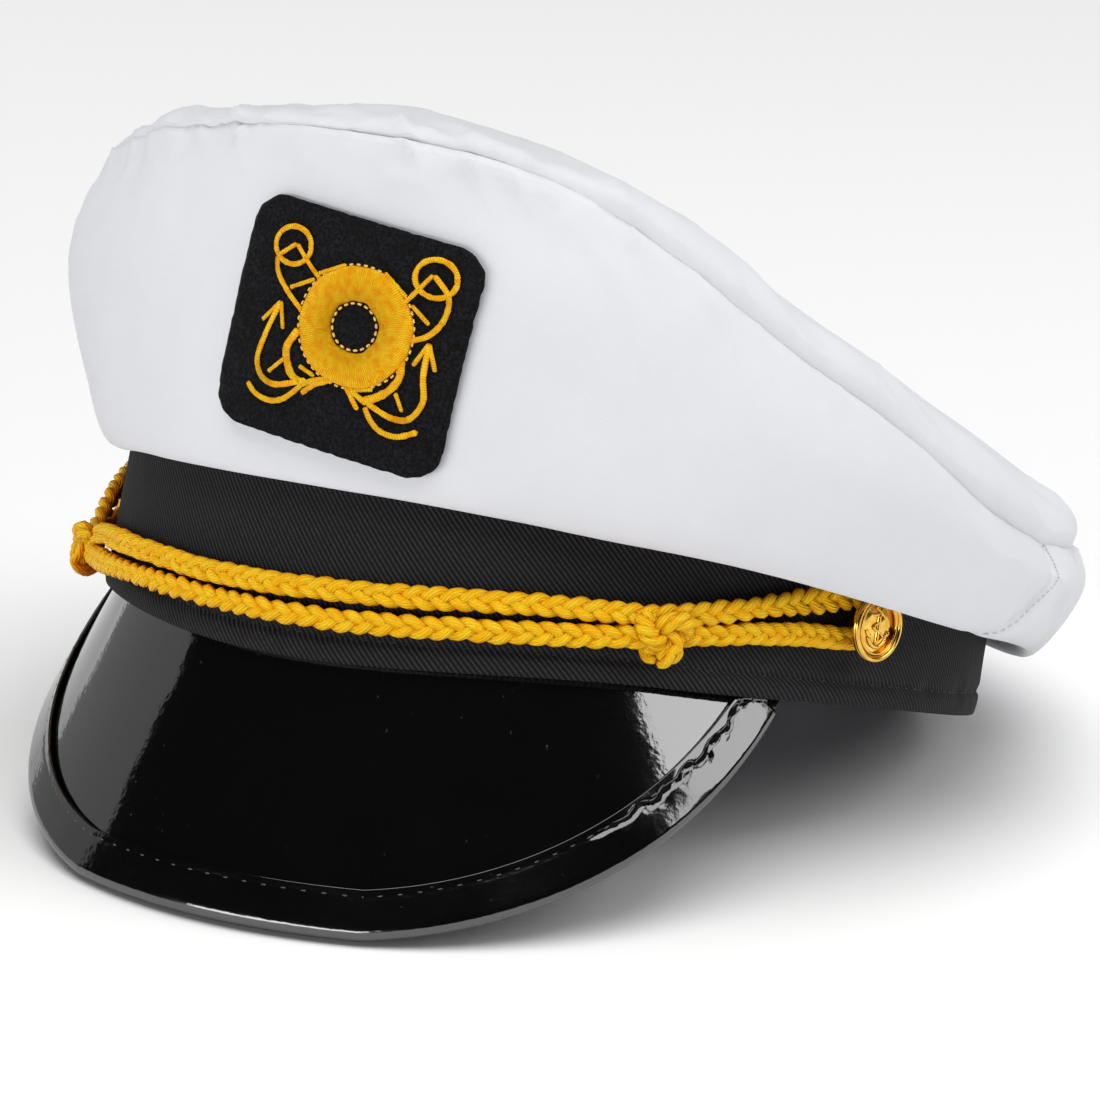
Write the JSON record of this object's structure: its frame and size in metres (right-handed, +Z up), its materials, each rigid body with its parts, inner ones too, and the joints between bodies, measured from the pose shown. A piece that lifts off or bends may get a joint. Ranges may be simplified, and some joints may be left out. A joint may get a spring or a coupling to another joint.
{
  "type": "captain hat",
  "caption": "Soft white crown overhanging an upright oval band and sloping down to the back, with a glossy curved peak, a doubled gold cord on gilt buttons and an embroidered anchor patch.",
  "frame": {"origin": "middle of the bounding box at the surface the hat rests on", "axes": "+Z is up off the surface, -Y is the front with the peak, +X is the wearer's left. The hat is tipped back as it lies at rest, on the edge of its peak and the back of its band."},
  "size_m": [0.199, 0.2426, 0.141],
  "materials": {
    "crown_white": "matte woven cloth",
    "band_twill": "matte twill",
    "peak_gloss": "high gloss",
    "cord_gold": "satin braid",
    "patch_felt": "matte felt",
    "thread_gold": "satin embroidery thread",
    "button_gilt": "polished gilt"
  },
  "bodies": {
    "root": {"band": "band_twill", "crown_front": "crown_white", "crown_back": "crown_white", "crown_top": "crown_white", "peak": "peak_gloss", "peak_binding": "peak_gloss", "gold_cord": "cord_gold", "patch": "patch_felt", "emblem": "thread_gold", "button_left": "button_gilt", "button_right": "button_gilt"}
  },
  "joints": []
}
